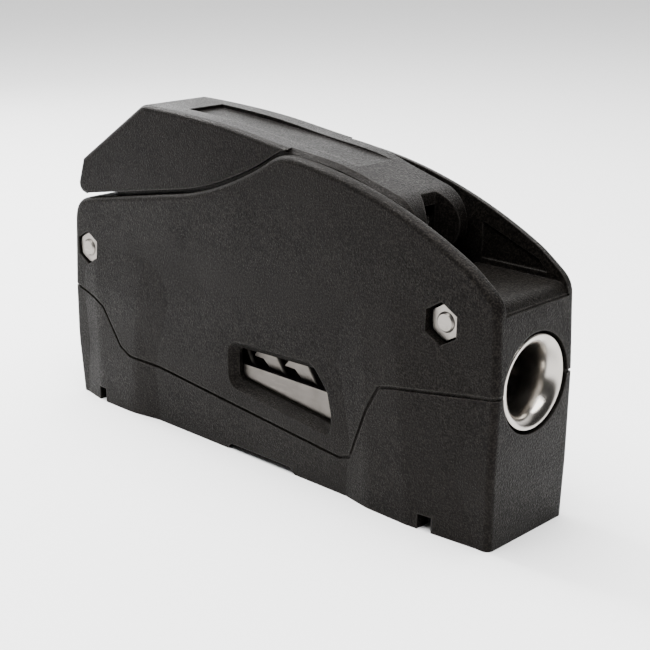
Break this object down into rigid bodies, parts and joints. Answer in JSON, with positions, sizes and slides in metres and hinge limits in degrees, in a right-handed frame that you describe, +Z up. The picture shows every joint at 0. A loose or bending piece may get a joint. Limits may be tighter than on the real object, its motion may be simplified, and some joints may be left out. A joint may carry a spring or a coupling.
{
  "type": "single rope clutch",
  "caption": "Deck rope clutch: a line runs through two bell mouths and a row of leaning steel rings that a top lever clamps and releases.",
  "frame": {"origin": "middle of the clutch's length and width on the deck face", "axes": "+X towards the front bell mouth, +Y towards the side with the bolt heads, +Z up from the deck"},
  "size_m": [0.1598, 0.0338, 0.0911],
  "materials": {
    "housing": "moulded glass-filled nylon, fine grain, satin-matte",
    "lever": "moulded glass-filled nylon, fine grain, edges slightly polished by use",
    "bush": "natural acetal, smooth",
    "polished_steel": "turned and polished stainless",
    "fastener_steel": "satin stainless, lightly tumbled",
    "pin_steel": "ground stainless",
    "pressed_steel": "rolled stainless sheet, satin",
    "spring_steel": "drawn stainless wire"
  },
  "bodies": {
    "shell": {"base_body": "housing", "upper_body": "housing", "handle_pivot_pin": "pin_steel", "pivot_bushes": "bush", "ring_pins": "pin_steel", "rope_track": "pressed_steel", "return_spring": "spring_steel", "front_bell_mouth": "polished_steel", "rear_bell_mouth": "polished_steel", "front_cross_bolt": "fastener_steel", "rear_cross_bolt": "fastener_steel", "front_cross_nut": "fastener_steel", "rear_cross_nut": "fastener_steel", "deck_nuts": "fastener_steel", "case_screws": "fastener_steel"},
    "handle": {"handle": "lever", "toggle_top_pin": "pin_steel"},
    "toggle": {"toggle_link": "pressed_steel", "toggle_foot_pin": "pin_steel"},
    "links": {"link_bar_near": "pressed_steel", "link_bar_far": "pressed_steel", "link_rivets": "pin_steel"},
    "ring_1": {"clamp_ring_1": "pressed_steel"},
    "ring_2": {"clamp_ring_2": "pressed_steel"},
    "ring_3": {"clamp_ring_3": "pressed_steel"},
    "ring_4": {"clamp_ring_4": "pressed_steel"},
    "ring_5": {"clamp_ring_5": "pressed_steel"}
  },
  "joints": [
    {"name": "handle_lift", "type": "hinge", "parent": "shell", "child": "handle", "pos_m": [0.0419, 0, 0.0704], "axis": [0, 1, 0], "range_deg": [0, 110]},
    {"name": "toggle_swing", "type": "hinge", "parent": "handle", "child": "toggle", "pos_m": [0.03499, 0, 0.06567], "axis": [0, 1, 0], "range_deg": [-131.64, 0.3]},
    {"name": "ring_1_tilt", "type": "hinge", "parent": "shell", "child": "ring_1", "pos_m": [0.0228, 0, 0.013], "axis": [0, 1, 0], "range_deg": [-0.2, 22.7]},
    {"name": "ring_2_tilt", "type": "hinge", "parent": "shell", "child": "ring_2", "pos_m": [0.0108, 0, 0.013], "axis": [0, 1, 0], "range_deg": [-0.2, 22.7]},
    {"name": "ring_3_tilt", "type": "hinge", "parent": "shell", "child": "ring_3", "pos_m": [-0.0012, 0, 0.013], "axis": [0, 1, 0], "range_deg": [-0.2, 22.7]},
    {"name": "ring_4_tilt", "type": "hinge", "parent": "shell", "child": "ring_4", "pos_m": [-0.0132, 0, 0.013], "axis": [0, 1, 0], "range_deg": [-0.2, 22.7]},
    {"name": "ring_5_tilt", "type": "hinge", "parent": "shell", "child": "ring_5", "pos_m": [-0.0252, 0, 0.013], "axis": [0, 1, 0], "range_deg": [-0.2, 22.7]},
    {"name": "links_swing", "type": "hinge", "parent": "ring_1", "child": "links", "pos_m": [0.00326, 0, 0.04143], "axis": [0, 1, 0], "range_deg": [-22.7, 0.2]}
  ],
  "couplings": [
    {"joint": "toggle_swing", "follows": "handle_lift", "ratio": -1.194},
    {"joint": "ring_1_tilt", "follows": "handle_lift", "ratio": 0.20455},
    {"joint": "ring_2_tilt", "follows": "handle_lift", "ratio": 0.20455},
    {"joint": "ring_3_tilt", "follows": "handle_lift", "ratio": 0.20455},
    {"joint": "ring_4_tilt", "follows": "handle_lift", "ratio": 0.20455},
    {"joint": "ring_5_tilt", "follows": "handle_lift", "ratio": 0.20455},
    {"joint": "links_swing", "follows": "handle_lift", "ratio": -0.20455}
  ]
}
